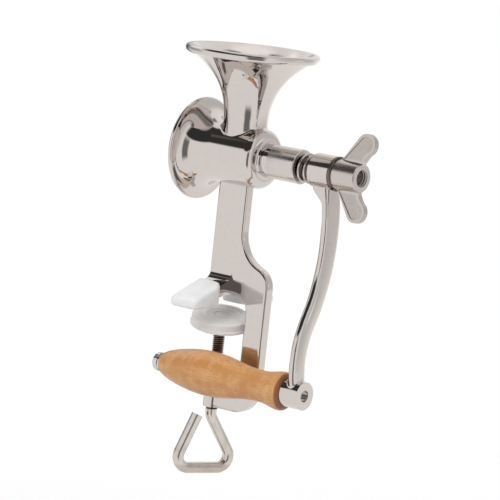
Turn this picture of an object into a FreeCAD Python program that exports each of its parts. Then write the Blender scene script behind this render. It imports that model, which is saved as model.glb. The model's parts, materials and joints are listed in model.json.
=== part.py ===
import FreeCAD, Part
import math
import os

# A clamp-on hand mill. +X runs along the shaft towards the crank, +Z is up, and the origin is where
# the clamp screw's axis meets the plane of the two jaw soles. Lengths are in millimetres.
# Places along the shaft are given from the clamp screw's axis, and drops are given below the shaft.
# Rises are given above the jaw soles.

os.makedirs("parts", exist_ok=True)
Vector = FreeCAD.Vector

# Clearances
running_gap = 0.06
seat_gap = 0.02
face_gap = 0.1
loose_gap = 0.3

# Shaft and barrel
shaft_height = 88.7
barrel_radius = 17.5
barrel_wall = 4.3
barrel_start = -20.0
barrel_end = 21.4
barrel_end_wall = 5.4
barrel_round = 4.8
neck_end = 48.0
neck_root_radius = 9.8
neck_tip_radius = 10.1
neck_fillet = 1.6
neck_chamfer = 0.5
bush_wall = 1.4
bush_setback = 2.0
shaft_radius = 6.0
shaft_flat = 5.1

# Bell and grinding parts
bell_front = -28.8
bell_radius = 30.1
bell_rim = 2.6
bell_rim_round = 1.2
bell_fillet = 3.0
bell_flare_start = -13.0
bell_flare_turn = 21.0
bell_dish = 0.3
chamber_flare = 0.55
burr_wall = 2.8
burr_gap = 0.4
burr_start = -21.5
burr_tooth_count = 20
burr_tooth_depth = 0.9
burr_tooth_width = 1.7
burr_tooth_slant = 12.0
cone_collar = 1.6
cone_seat_radius = 5.0
cone_seat_flat = 4.2
cone_thread_radius = 3.9
cone_washer_radius = 8.5
cone_washer_thickness = 1.4
cone_nut_across = 13.0
cone_nut_height = 5.0

# Feed flight
flight_gap = 0.5
flight_core_radius = 6.8
flight_pitch = 13.0
flight_turns = 2.5
flight_thickness = 2.6
thrust_washer_thickness = 1.2

# Hopper
hopper_x = 3.0
hopper_throat_radius = 13.2
hopper_throat_top = 20.0
hopper_rise = 60.4
hopper_radius = 39.3
hopper_bead = 1.9
hopper_wall = 2.5
hopper_neck_pull = 17.0
hopper_rim_pull = Vector(17.5, 0, 9.5)
hopper_fillet = 2.2

# Pillar and clamp frame
plate_thickness = 7.4
plate_edge = 2.0
pillar_left = -9.6
pillar_right = 12.0
pillar_sink = 3.0
shoulder_rise = 45.2
shoulder_run = 31.0
shoulder_upper_share = 0.63
spine_left = 19.5
spine_right = 34.1
jaw_rise = 7.7
throat_round = 9.0
throat_depth = 47.3
bar_depth = 13.5
bar_corner = 17.0
lug_radius = 5.3
screw_radius = 3.6

# Jaw prongs and their caps
prong_left = -8.0
prong_right = 7.4
prong_root_rise = 22.7
prong_root_round = 6.0
cap_side_wall = 1.8
cap_reach = 37.6
cap_start = 10.8
cap_start_rise = 15.7
cap_tip_rise = 5.5
cap_wall = 2.0
cap_edge = 1.5
cap_sole_edge = 0.8
cap_corner = 7.0
cap_tip_corner = 2.2

# Adjusting spring
spring_wire = 1.5
spring_radius = 8.1
spring_turns = 1.75
spring_first_angle = 100.0

# Crank
hub_radius = 10.0
hub_start = 57.0
hub_end = 72.5
hub_chamfer = 1.4
grip_under_pad = 12.65
crank_rest_angle = -9.2
arm_thickness = 5.2
arm_foot_thickness = 6.8
arm_squareness = 0.86
arm_foot_squareness = 0.58
arm_hub_width = 14.6
arm_boss_width = 11.8
arm_crossing_share = 0.672
arm_turn = 23.5
arm_hub_x = 67.3
web_drop = 18.0
web_sink = 2.0
arm_boss_x = 76.9
boss_radius = 8.2
boss_before_arm = 6.9
boss_after_arm = 5.1
boss_fillet = 1.6

# Wing nut and lock washer
lock_washer_radius = 10.1
lock_washer_thickness = 2.0
lock_washer_slit = 1.2
lock_washer_edge = 0.6
thread_radius = 5.0
thread_end = 84.0
nut_length = 16.0
nut_base_radius = 9.0
nut_tip_radius = 8.5
nut_chamfer = 0.6
wing_turn = -5.3
wing_thickness = 3.4
wing_border = 1.7
wing_recess = 0.5
wing_tip_radius = 6.4
wing_tip_reach = 19.3
wing_tip_ahead = 0.2
wing_waist_ahead = 1.3
wing_foot = 0.3

# Handle
grip_start = -22.9
grip_tip_radius = 6.0
grip_belly_at = 34.9
grip_belly_radius = 13.2
grip_waist_at = 72.9
grip_waist_radius = 9.15
grip_end_radius = 11.3
grip_end_round = 4.0
bolt_radius = 3.45
bolt_head_radius = 5.5
bolt_head_height = 4.0
bolt_setback = 2.5
handle_washer_radius = 5.0
handle_washer_thickness = 1.3

# Clamp screw and pad
pad_open = 5.6
pad_tilt = 13.0
pad_tilt_heading = 37.7
pad_radius = 17.2
pad_lip = 0.7
pad_lip_height = 1.1
pad_height = 6.2
pad_round = 1.2
pad_skin = 1.5
pad_wall = 1.6
pad_ring_radii = (4.4, 8.4, 12.6)
pad_ring_width = 0.9
pad_ring_depth = 0.5
plate_inset = 0.3
ball_radius = 3.2
ball_below_top = 5.4
ball_stem_radius = 1.6
ball_mouth = 3.0
ball_play = 0.12
rod_radius = 3.35
rod_bend = 7.0
rod_neck_length = 5.5
rod_length = 37.0
rod_right = 20.3
rod_left = -22.2
rod_free = -9.0
rod_free_gap = 5.1
rod_heading = 67.0

# Worked out from the above
bore_radius = barrel_radius - barrel_wall
bore_end = barrel_end - barrel_end_wall
bush_inner = shaft_radius + running_gap
bush_outer = bush_inner + bush_wall
nut_start = hub_end + lock_washer_thickness
nut_end = nut_start + nut_length
shaft_end = thread_end
boss_start = arm_boss_x - boss_before_arm
boss_end = arm_boss_x + boss_after_arm
grip_end = boss_start - loose_gap
cone_front = bell_front - cone_collar
bell_fillet_start = bell_front + bell_rim - bell_dish + bell_fillet
pillar_top_drop = barrel_radius - pillar_sink
shoulder_drop = shaft_height - shoulder_rise
jaw_drop = shaft_height - jaw_rise
prong_root_drop = shaft_height - prong_root_rise
cap_start_drop = shaft_height - cap_start_rise
cap_tip_drop = shaft_height - cap_tip_rise
pad_drop = shaft_height + pad_open
bar_top_drop = shaft_height + throat_depth
bar_bottom_drop = bar_top_drop + bar_depth
rod_neck_drop = bar_bottom_drop + rod_neck_length
rod_bottom_drop = bar_bottom_drop + rod_length
rod_free_drop = bar_bottom_drop + rod_free_gap
handle_drop = pad_drop + pad_height + grip_under_pad + grip_belly_radius
crank_radius = handle_drop / math.cos(math.radians(crank_rest_angle))
arm_crossing = crank_radius * arm_crossing_share


def on_shaft(x, radius):
    return Vector(x, 0, shaft_height + radius)


def below_shaft(x, y, drop):
    return Vector(x, y, shaft_height - drop)


def polar(centre, radius, degrees):
    turn = math.radians(degrees)
    return (centre[0] + radius * math.cos(turn), centre[1] + radius * math.sin(turn))


def outline(start, *steps):
    """A closed face. A step is a point, a (middle, end) pair for an arc or a list of curve poles."""
    edges = []
    here = start
    for step in steps:
        if isinstance(step, tuple):
            edges.append(Part.Arc(here, step[0], step[1]).toShape())
            here = step[1]
        elif isinstance(step, list):
            curve = Part.BezierCurve()
            curve.setPoles([here] + step)
            edges.append(curve.toShape())
            here = step[-1]
        else:
            edges.append(Part.makeLine(here, step))
            here = step
    if (here - start).Length > 1e-6:
        edges.append(Part.makeLine(here, start))
    return Part.Face(Part.Wire(edges))


def turned_on_shaft(face):
    return face.revolve(on_shaft(0, 0), Vector(1, 0, 0), 360)


def rod_along_x(radius, start, end):
    return Part.makeCylinder(radius, end - start, on_shaft(start, 0), Vector(1, 0, 0))


def ring_along_x(inner, outer, start, end):
    return rod_along_x(outer, start, end).cut(rod_along_x(inner, start - 1, end + 1))


def flatted_rod(radius, half_flat, start, end):
    rod = rod_along_x(radius, start, end)
    slab = Part.makeBox(end - start, 2 * half_flat, 4 * radius, below_shaft(start, -half_flat, 2 * radius))
    return rod.common(slab)


def turned_about_shaft(shape, degrees):
    shape.rotate(on_shaft(0, 0), Vector(1, 0, 0), degrees)
    return shape


def save(name, shape):
    shape.exportStep("parts/" + name + ".step")


def tangent_from(point, centre, radius, side):
    across = math.hypot(point[0] - centre[0], point[1] - centre[1])
    heading = math.degrees(math.atan2(point[1] - centre[1], point[0] - centre[0]))
    return (heading + side * math.degrees(math.acos(radius / across))) % 360


def barrel_outside():
    rim_back = bell_front + bell_rim
    rim_low = bell_radius - bell_rim_round
    turn = math.radians(bell_flare_turn)
    flare_end = bell_fillet_start - bell_fillet * math.sin(turn)
    flare_radius = (bell_flare_start - flare_end) / math.sin(turn)
    flare_centre = (bell_flare_start, barrel_radius + flare_radius)
    low = 270 - bell_flare_turn
    foot = polar(flare_centre, flare_radius, low)
    fillet_centre = (bell_fillet_start, foot[1] + bell_fillet * math.cos(turn))
    meet = tangent_from((rim_back, rim_low), fillet_centre, bell_fillet, 1)
    front_round = (bell_front + bell_rim_round, rim_low)
    back_round = (rim_back - bell_rim_round, rim_low)
    end_round = (barrel_end - barrel_round, barrel_radius - barrel_round)
    neck_round = (barrel_end + neck_fillet, neck_root_radius + neck_fillet)
    face = outline(
        on_shaft(bell_front, 0),
        on_shaft(bell_front, rim_low),
        (on_shaft(*polar(front_round, bell_rim_round, 135)), on_shaft(front_round[0], bell_radius)),
        on_shaft(back_round[0], bell_radius),
        (on_shaft(*polar(back_round, bell_rim_round, 45)), on_shaft(rim_back, rim_low)),
        on_shaft(*polar(fillet_centre, bell_fillet, meet)),
        (
            on_shaft(*polar(fillet_centre, bell_fillet, (meet + low) / 2)),
            on_shaft(*foot),
        ),
        (
            on_shaft(*polar(flare_centre, flare_radius, 270 - bell_flare_turn / 2)),
            on_shaft(bell_flare_start, barrel_radius),
        ),
        on_shaft(end_round[0], barrel_radius),
        (on_shaft(*polar(end_round, barrel_round, 45)), on_shaft(barrel_end, end_round[1])),
        on_shaft(barrel_end, neck_round[1]),
        (on_shaft(*polar(neck_round, neck_fillet, 225)), on_shaft(neck_round[0], neck_root_radius)),
        on_shaft(neck_end - neck_chamfer, neck_tip_radius),
        on_shaft(neck_end, neck_tip_radius - neck_chamfer),
        on_shaft(neck_end, 0),
    )
    return turned_on_shaft(face)


def chamber_radius(x):
    return bore_radius + chamber_flare * (barrel_start - x)


def barrel_inside():
    face = outline(
        on_shaft(bore_end, 0),
        on_shaft(bore_end, bore_radius),
        on_shaft(barrel_start, bore_radius),
        on_shaft(bell_front - 1, chamber_radius(bell_front - 1)),
        on_shaft(bell_front - 1, 0),
    )
    neck_hole = rod_along_x(bush_outer + seat_gap, bore_end - 1, neck_end + 1)
    return turned_on_shaft(face).fuse(neck_hole)


def hopper_point(radius, rise):
    return Vector(hopper_x + radius, 0, shaft_height + rise)


def hopper_turned(face):
    return face.revolve(hopper_point(0, 0), Vector(0, 0, 1), 360)


def hopper_outside():
    bead = (hopper_radius - hopper_bead, hopper_rise)
    under = polar(bead, hopper_bead, 300)
    face = outline(
        hopper_point(0, 0),
        hopper_point(hopper_throat_radius, 0),
        hopper_point(hopper_throat_radius, hopper_throat_top),
        [
            hopper_point(hopper_throat_radius, hopper_throat_top + hopper_neck_pull),
            hopper_point(*under) - hopper_rim_pull,
            hopper_point(*under),
        ],
        (hopper_point(*polar(bead, hopper_bead, 10)), hopper_point(*polar(bead, hopper_bead, 90))),
        hopper_point(0, hopper_rise + hopper_bead),
    )
    return hopper_turned(face)


def hopper_inside():
    throat = hopper_throat_radius - hopper_wall
    lip = (hopper_radius - 2 * hopper_bead, hopper_rise + hopper_bead)
    face = outline(
        hopper_point(0, bore_radius / 2),
        hopper_point(throat, bore_radius / 2),
        hopper_point(throat, hopper_throat_top),
        [
            hopper_point(throat, hopper_throat_top + hopper_neck_pull),
            hopper_point(*lip) - hopper_rim_pull,
            hopper_point(*lip),
        ],
        hopper_point(lip[0], lip[1] + 1),
        hopper_point(0, lip[1] + 1),
    )
    return hopper_turned(face)


def clamp_frame():
    turn = 2 * math.atan2(spine_right - pillar_right, shoulder_run)
    both = shoulder_run / math.sin(turn)
    upper = both * shoulder_upper_share
    lower = both - upper
    half = math.degrees(turn) / 2
    hollow = (pillar_right + upper, -shoulder_drop)
    hump = (spine_right - lower, -shoulder_drop - shoulder_run)
    joint = polar(hump, lower, 2 * half)
    inner = throat_round * (1 - math.sqrt(0.5))
    outer = bar_corner * (1 - math.sqrt(0.5))

    def at(x, rise):
        return below_shaft(x, -plate_thickness / 2, -rise)

    face = outline(
        at(pillar_left, -pillar_top_drop),
        at(pillar_right, -pillar_top_drop),
        at(pillar_right, -shoulder_drop),
        (at(*polar(hollow, upper, 180 + half)), at(*joint)),
        (at(*polar(hump, lower, half)), at(spine_right, hump[1])),
        at(spine_right, bar_corner - bar_bottom_drop),
        (
            at(spine_right - outer, outer - bar_bottom_drop),
            at(spine_right - bar_corner, -bar_bottom_drop),
        ),
        at(0, -bar_bottom_drop),
        at(0, -bar_top_drop),
        at(spine_left - throat_round, -bar_top_drop),
        (
            at(spine_left - inner, inner - bar_top_drop),
            at(spine_left, throat_round - bar_top_drop),
        ),
        at(spine_left, -jaw_drop - throat_round),
        (
            at(spine_left - inner, -jaw_drop - inner),
            at(spine_left - throat_round, -jaw_drop),
        ),
        at(pillar_left, -jaw_drop),
    )
    plate = face.extrude(Vector(0, plate_thickness, 0))
    long_edges = [edge for edge in plate.Edges if abs(edge.BoundBox.YMax - edge.BoundBox.YMin) < 1e-6]
    plate = plate.makeFillet(plate_edge, long_edges)
    boss_height = bar_bottom_drop - bar_top_drop
    boss = Part.makeCylinder(lug_radius, boss_height, below_shaft(0, 0, bar_bottom_drop))
    return plate.fuse(boss)


def cap_slope():
    return (cap_tip_drop - cap_start_drop) / (cap_reach - cap_start)


def prong_top_drop(reach):
    return cap_start_drop + cap_wall + cap_slope() * (reach - cap_start)


def prong(side, grown):
    """The tapering jaw foot on one side of the plate, or the pocket for it when grown."""
    tip = cap_reach - cap_wall
    bottom_tip = shaft_height - cap_wall
    rise = Vector(0, 0, grown)
    half_plate = plate_thickness / 2
    root = (half_plate + prong_root_round, prong_top_drop(half_plate + prong_root_round))

    def at(reach, drop):
        return below_shaft(prong_left - grown, side * reach, drop)

    sweep = prong_root_round * (1 - math.sqrt(0.5))
    face = outline(
        at(0, prong_root_drop) + rise,
        at(half_plate, prong_root_drop) + rise,
        (
            at(half_plate + sweep, root[1] - sweep * 1.3) + rise,
            at(*root) + rise,
        ),
        at(tip + grown, prong_top_drop(tip)) + rise,
        at(tip + grown, bottom_tip) - rise,
        at(half_plate, jaw_drop) - rise,
        at(0, jaw_drop) - rise,
    )
    return face.extrude(Vector(prong_right - prong_left + 2 * grown, 0, 0))


def jaw_cap(side):
    left = prong_left - cap_side_wall
    right = prong_right + cap_side_wall

    def at(reach, drop):
        return below_shaft(left, side * reach, drop)

    def plan(x, reach):
        return Vector(x, side * reach, -1)

    wedge = outline(
        at(cap_start, cap_start_drop),
        at(cap_reach, cap_tip_drop),
        at(cap_reach, shaft_height),
        at(cap_start, shaft_height),
    )
    round_mid = cap_corner * (1 - math.sqrt(0.5))
    tip_mid = cap_tip_corner * (1 - math.sqrt(0.5))
    plan_face = outline(
        plan(left, cap_start),
        plan(right - cap_corner, cap_start),
        (plan(right - round_mid, cap_start + round_mid), plan(right, cap_start + cap_corner)),
        plan(right, cap_reach - cap_tip_corner),
        (plan(right - tip_mid, cap_reach - tip_mid), plan(right - cap_tip_corner, cap_reach)),
        plan(left + cap_tip_corner, cap_reach),
        (plan(left + tip_mid, cap_reach - tip_mid), plan(left, cap_reach - cap_tip_corner)),
    )
    block = wedge.extrude(Vector(right - left, 0, 0)).common(plan_face.extrude(Vector(0, 0, shaft_height)))
    rims = [edge for edge in block.Edges if edge.BoundBox.ZMin > 1 and edge.BoundBox.XLength > 0.5]
    rims += [edge for edge in block.Edges if edge.BoundBox.ZMin > 1 and edge.BoundBox.YLength > cap_tip_corner]
    soles = [edge for edge in block.Edges if edge.BoundBox.ZMax < 0.5]
    block = block.makeFillet(cap_edge, unlike(rims))
    soles = [edge for edge in block.Edges if edge.BoundBox.ZMax < 0.5]
    block = block.makeFillet(cap_sole_edge, soles)
    return block.cut(prong(side, seat_gap))


def unlike(edges):
    kept = []
    for edge in edges:
        if not any(edge.isSame(other) for other in kept):
            kept.append(edge)
    return kept


def body_casting():
    shell = barrel_outside().fuse(hopper_outside())
    seam = [edge for edge in shell.Edges if is_hopper_seam(edge)]
    shell = shell.makeFillet(hopper_fillet, seam)
    shell = shell.fuse([clamp_frame(), prong(-1, 0), prong(1, 0)])
    screw_hole = Part.makeCylinder(
        screw_radius + running_gap, 2 * (bar_bottom_drop - bar_top_drop), below_shaft(0, 0, bar_bottom_drop + 5)
    )
    shell = shell.cut([barrel_inside(), hopper_inside(), screw_hole])
    return shell.removeSplitter()


def is_hopper_seam(edge):
    on_throat = []
    for point in edge.discretize(5):
        from_hopper = math.hypot(point.x - hopper_x, point.y)
        from_shaft = math.hypot(point.y, point.z - shaft_height)
        near_throat = abs(from_hopper - hopper_throat_radius) < 0.05
        near_barrel = abs(from_shaft - barrel_radius) < 0.05
        on_throat.append(near_throat and near_barrel and point.z > shaft_height)
    return all(on_throat)


def slanted_grooves(shape, radius_at, start, end, inward):
    """Cuts even grooves along a cone: inward for the outside of the cone, else into its inside."""
    middle = (start + end) / 2
    length = 3 * abs(end - start)
    half = burr_tooth_width / 2
    tilt = math.degrees(math.atan2(radius_at(end) - radius_at(start), end - start))
    cutters = []
    for index in range(burr_tooth_count):
        depth = -burr_tooth_depth if inward else burr_tooth_depth
        face = outline(
            Vector(-length / 2, -half, -depth),
            Vector(-length / 2, half, -depth),
            Vector(-length / 2, 0, depth),
        )
        cutter = face.extrude(Vector(length, 0, 0))
        cutter.rotate(Vector(0, 0, 0), Vector(0, 0, 1), burr_tooth_slant)
        cutter.rotate(Vector(0, 0, 0), Vector(0, 1, 0), -tilt)
        cutter.translate(on_shaft(middle, radius_at(middle)))
        cutters.append(turned_about_shaft(cutter, index * 360 / burr_tooth_count))
    return shape.cut(cutters)


def burr_inner_radius(x):
    return chamber_radius(x) - seat_gap - burr_wall


def burr_ring():
    face = outline(
        on_shaft(burr_start, chamber_radius(burr_start) - seat_gap),
        on_shaft(bell_front, chamber_radius(bell_front) - seat_gap),
        on_shaft(bell_front, burr_inner_radius(bell_front)),
        on_shaft(burr_start, burr_inner_radius(burr_start)),
    )
    return slanted_grooves(turned_on_shaft(face), burr_inner_radius, burr_start, bell_front, False)


def cone_radius(x):
    return burr_inner_radius(x) - burr_gap


def grinding_cone():
    face = outline(
        on_shaft(burr_start, 0),
        on_shaft(burr_start, cone_radius(burr_start)),
        on_shaft(bell_front, cone_radius(bell_front)),
        on_shaft(cone_front, cone_radius(bell_front)),
        on_shaft(cone_front, 0),
    )
    cone = slanted_grooves(turned_on_shaft(face), cone_radius, burr_start, bell_front, True)
    hole = flatted_rod(cone_seat_radius + seat_gap, cone_seat_flat + seat_gap, cone_front - 1, burr_start + 1)
    return cone.cut(hole)


def biarc(start, start_way, end, end_way):
    """Two tangent arcs from start to end that leave and arrive along the given unit ways."""
    across = end - start
    total = start_way + end_way
    spread = 2 * (1 - start_way.dot(end_way))
    along = across.dot(total)
    reach = (math.sqrt(along * along + spread * across.dot(across)) - along) / spread
    middle = (start + start_way * reach + end - end_way * reach) * 0.5
    return [arc_leaving(start, start_way, middle), arc_leaving(end, end_way * -1, middle, True)]


def arc_leaving(start, way, end, backwards=False):
    chord = end - start
    side = chord - way * chord.dot(way)
    side.normalize()
    radius = chord.dot(chord) / (2 * chord.dot(side))
    centre = start + side * radius
    out = (start - centre) + (end - centre)
    out.normalize()
    middle = centre + out * radius
    if backwards:
        return Part.Arc(end, middle, start).toShape()
    return Part.Arc(start, middle, end).toShape()


def helix_point(turn, radius, start, pitch, first_angle):
    angle = math.radians(first_angle + 360 * turn)
    return Vector(start + pitch * turn, radius * math.sin(angle), shaft_height + radius * math.cos(angle))


def helix_way(turn, radius, pitch, first_angle):
    angle = math.radians(first_angle + 360 * turn)
    around = 2 * math.pi * radius
    way = Vector(pitch, around * math.cos(angle), -around * math.sin(angle))
    way.normalize()
    return way


def helix_wire(radius, start, pitch, turns, first_angle):
    quarters = round(turns * 4)
    edges = []
    for quarter in range(quarters):
        before = quarter / 4
        after = (quarter + 1) / 4
        edges += biarc(
            helix_point(before, radius, start, pitch, first_angle),
            helix_way(before, radius, pitch, first_angle),
            helix_point(after, radius, start, pitch, first_angle),
            helix_way(after, radius, pitch, first_angle),
        )
    return Part.Wire(edges)


def adjusting_spring():
    start = neck_end + face_gap + spring_wire / 2
    end = hub_start - face_gap - spring_wire / 2
    pitch = (end - start) / spring_turns
    path = helix_wire(spring_radius, start, pitch, spring_turns, spring_first_angle)
    way = helix_way(0, spring_radius, pitch, spring_first_angle)
    first = helix_point(0, spring_radius, start, pitch, spring_first_angle)
    ring = Part.Wire([Part.makeCircle(spring_wire / 2, first, way)])
    print("spring turn to turn gap", round(least_turn_gap(path, spring_turns), 3))
    return path.makePipeShell([ring], True, False)


def least_turn_gap(path, turns):
    """Least gap between points of the tube that lie half a turn or more apart."""
    per_turn = 60
    points = path.discretize(int(per_turn * turns) + 1)
    least = None
    for index, point in enumerate(points):
        for other in points[index + per_turn // 2:]:
            gap = (other - point).Length - spring_wire
            if least is None or gap < least:
                least = gap
    return least


def feed_flight():
    radius = bore_radius - flight_gap
    length = flight_pitch * flight_turns
    start = core_end() - length - flight_thickness / 2
    middle_radius = (flight_core_radius + radius) / 2
    path = helix_wire(middle_radius, start, flight_pitch, flight_turns, 0)
    inner = flight_core_radius - 1
    half = flight_thickness / 2
    face = outline(
        on_shaft(start - half, inner),
        on_shaft(start + half, inner),
        on_shaft(start + half / 2, radius),
        on_shaft(start - half / 2, radius),
    )
    spine = Part.Wire([Part.makeLine(on_shaft(start - length, 0), on_shaft(start + 2 * length, 0))])
    sweep = Part.BRepOffsetAPI.MakePipeShell(path)
    sweep.setAuxiliarySpine(spine, True, 0)
    sweep.add(face.OuterWire)
    sweep.build()
    sweep.makeSolid()
    return sweep.shape().common(rod_along_x(radius, start - length, core_end()))


def core_end():
    return bore_end - face_gap - thrust_washer_thickness


def feed_screw():
    nut_seat = cone_front - cone_washer_thickness
    core = rod_along_x(flight_core_radius, burr_start, core_end())
    journal = rod_along_x(shaft_radius, core_end(), hub_start - 2)
    drive = flatted_rod(shaft_radius, shaft_flat, hub_start - 2, hub_end - 1)
    thread = rod_along_x(thread_radius, hub_end - 1, shaft_end)
    seat = flatted_rod(cone_seat_radius, cone_seat_flat, cone_front + 1, burr_start)
    tail = rod_along_x(cone_thread_radius, nut_seat - cone_nut_height - 1, cone_front + 1)
    return core.fuse([journal, drive, thread, seat, tail, feed_flight()]).removeSplitter()


def thrust_washer():
    end = bore_end - face_gap / 2
    start = end - thrust_washer_thickness
    return ring_along_x(shaft_radius + seat_gap, bore_radius - flight_gap, start, end)


def neck_bush():
    return ring_along_x(bush_inner, bush_outer, bore_end, neck_end - bush_setback)


def cone_washer():
    return ring_along_x(
        cone_thread_radius + seat_gap, cone_washer_radius, cone_front - cone_washer_thickness, cone_front
    )


def cone_nut():
    face_end = cone_front - cone_washer_thickness
    corner = cone_nut_across / math.sqrt(3)
    corners = []
    for index in range(6):
        across, up = polar((0, 0), corner, 60 * index)
        corners.append(Vector(face_end - cone_nut_height, across, shaft_height + up))
    nut = outline(*corners).extrude(Vector(cone_nut_height, 0, 0))
    return nut.cut(rod_along_x(cone_thread_radius + seat_gap, face_end - 2 * cone_nut_height, face_end + 1))


def arm_centre(share):
    """A point of the arm's centre line and its lean, for a share of 0 to 2 along the two bows."""
    turn = math.radians(arm_turn)
    span = arm_crossing if share <= 1 else crank_radius - arm_crossing
    first = 0 if share <= 1 else arm_crossing
    side = 1 if share <= 1 else -1
    swing = span / 2 / math.sin(turn)
    angle = turn * (1 - 2 * (share if share <= 1 else share - 1))
    across = side * swing * (math.cos(angle) - math.cos(turn))
    return across, first + span / 2 - swing * math.sin(angle), side * angle


def arm_section(share):
    """The arm's outline at one place: flat sided at the hub, oval at the boss, swollen into the hub."""
    across, down, lean = arm_centre(share)
    far = down / crank_radius
    half_width = (arm_hub_width + far * (arm_boss_width - arm_hub_width)) / 2
    half = (arm_thickness + far * (arm_foot_thickness - arm_thickness)) / 2
    square = arm_squareness + min(1, 1.25 * far) * (arm_foot_squareness - arm_squareness)
    middle = arm_hub_x + far * (arm_boss_x - arm_hub_x)
    swell = max(0, min(1, (web_drop - down) / (web_drop - hub_radius + web_sink)))
    left = middle - half + swell * swell * (3 - 2 * swell) * (hub_start + hub_chamfer - middle + half)
    right = middle + half
    middle = (left + right) / 2
    half = (right - left) / 2

    def at(out, up):
        out = out * half_width
        return below_shaft(middle + up * half, across + out * math.cos(lean), down - out * math.sin(lean))

    edges = []
    for a, b in ((1, 1), (-1, 1), (-1, -1), (1, -1)):
        poles = [at(a, 0), at(a, b * square), at(a * square, b), at(0, b)]
        curve = Part.BezierCurve()
        curve.setPoles(poles if a * b > 0 else poles[::-1])
        edges.append(curve.toShape())
    return Part.Wire(edges)


def crank_blade():
    near_hub = [0, 0.04, 0.08, 0.105, 0.13, 0.155, 0.18, 0.205, 0.23, 0.28]
    shares = near_hub + [0.36, 0.5, 0.65, 0.8, 0.92, 1.08, 1.2, 1.4, 1.6, 1.8, 2]
    return Part.makeLoft([arm_section(share) for share in shares], True, False)


def on_handle(x, radius):
    return below_shaft(x, 0, crank_radius - radius)


def handle_rod(radius, start, end):
    return Part.makeCylinder(radius, end - start, on_handle(start, 0), Vector(1, 0, 0))


def turned_on_handle(face):
    return face.revolve(on_handle(0, 0), Vector(1, 0, 0), 360)


def is_boss_seam(edge):
    """Whether an edge runs on the boss's round face, where the arm comes out of it."""
    for point in edge.discretize(5):
        from_handle = math.hypot(point.y, shaft_height - point.z - crank_radius)
        inside = boss_start + face_gap < point.x < boss_end - face_gap
        if abs(from_handle - boss_radius) > 0.01 or not inside:
            return False
    return abs(edge.BoundBox.XLength - (boss_end - boss_start)) > 0.01


def crank_arm():
    hub = turned_on_shaft(
        outline(
            on_shaft(hub_start, 0),
            on_shaft(hub_start, hub_radius - hub_chamfer),
            on_shaft(hub_start + hub_chamfer, hub_radius),
            on_shaft(hub_end, hub_radius),
            on_shaft(hub_end, 0),
        )
    )
    arm = crank_blade().fuse(handle_rod(boss_radius, boss_start, boss_end))
    seam = [edge for edge in arm.Edges if is_boss_seam(edge)]
    arm = arm.makeFillet(boss_fillet, seam).fuse(hub)
    drive_hole = flatted_rod(shaft_radius + running_gap, shaft_flat + running_gap, hub_start - 1, hub_end + 1)
    behind_hub = rod_along_x(hub_radius, hub_end, nut_end)
    bolt_hole = handle_rod(bolt_radius + seat_gap, boss_start - 1, boss_end + 1)
    arm = turned_about_shaft(arm.cut([behind_hub, bolt_hole]), crank_rest_angle)
    return arm.cut(drive_hole).removeSplitter()


def lock_washer():
    ring = ring_along_x(shaft_radius + running_gap, lock_washer_radius, hub_end, nut_start)
    rims = [edge for edge in ring.Edges if abs(edge.BoundBox.YLength - 2 * lock_washer_radius) < 0.1]
    ring = ring.makeFillet(lock_washer_edge, rims)
    slit = Part.makeBox(
        6 * lock_washer_thickness,
        lock_washer_slit,
        2 * lock_washer_radius,
        Vector(-3 * lock_washer_thickness, -lock_washer_slit / 2, 0),
    )
    slit.rotate(Vector(0, 0, 0), Vector(0, 0, 1), 30)
    slit.translate(on_shaft((hub_end + nut_start) / 2, 0))
    return turned_about_shaft(ring.cut(slit), 150)


def wing_face(border):
    """One wing's outline above the shaft, drawn in by border."""
    tip = (nut_end + wing_tip_ahead, wing_tip_reach)
    radius = wing_tip_radius - border
    foot = (nut_start + wing_foot + border, nut_tip_radius - 1.5 + border)
    back = tangent_from(foot, tip, radius, -1)
    ahead = -58
    heel = (nut_end - border, nut_tip_radius - 1 + border)
    waist = (nut_end + wing_waist_ahead - border, (heel[1] + polar(tip, radius, ahead)[1]) / 2)
    return outline(
        on_shaft(*foot),
        on_shaft(*polar(tip, radius, back)),
        (on_shaft(*polar(tip, radius, (back + ahead) / 2)), on_shaft(*polar(tip, radius, ahead))),
        (on_shaft(*waist), on_shaft(*heel)),
        on_shaft(heel[0], foot[1]),
    )


def wing():
    half = wing_thickness / 2
    blade = wing_face(0).extrude(Vector(0, wing_thickness, 0))
    blade.translate(Vector(0, -half, 0))
    panel = wing_face(wing_border)
    front = panel.extrude(Vector(0, -wing_thickness, 0))
    front.translate(Vector(0, wing_recess - half, 0))
    back = panel.extrude(Vector(0, wing_thickness, 0))
    back.translate(Vector(0, half - wing_recess, 0))
    return blade.cut([front, back])


def wing_nut():
    hub = turned_on_shaft(
        outline(
            on_shaft(nut_start, 0),
            on_shaft(nut_start, nut_base_radius),
            on_shaft(nut_end - nut_chamfer, nut_tip_radius),
            on_shaft(nut_end, nut_tip_radius - nut_chamfer),
            on_shaft(nut_end, 0),
        )
    )
    nut = hub.fuse([turned_about_shaft(wing(), turn) for turn in (0, 180)])
    nut = nut.cut(rod_along_x(thread_radius + running_gap, nut_start - 1, nut_end + 1)).removeSplitter()
    return turned_about_shaft(nut, wing_turn)


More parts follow.
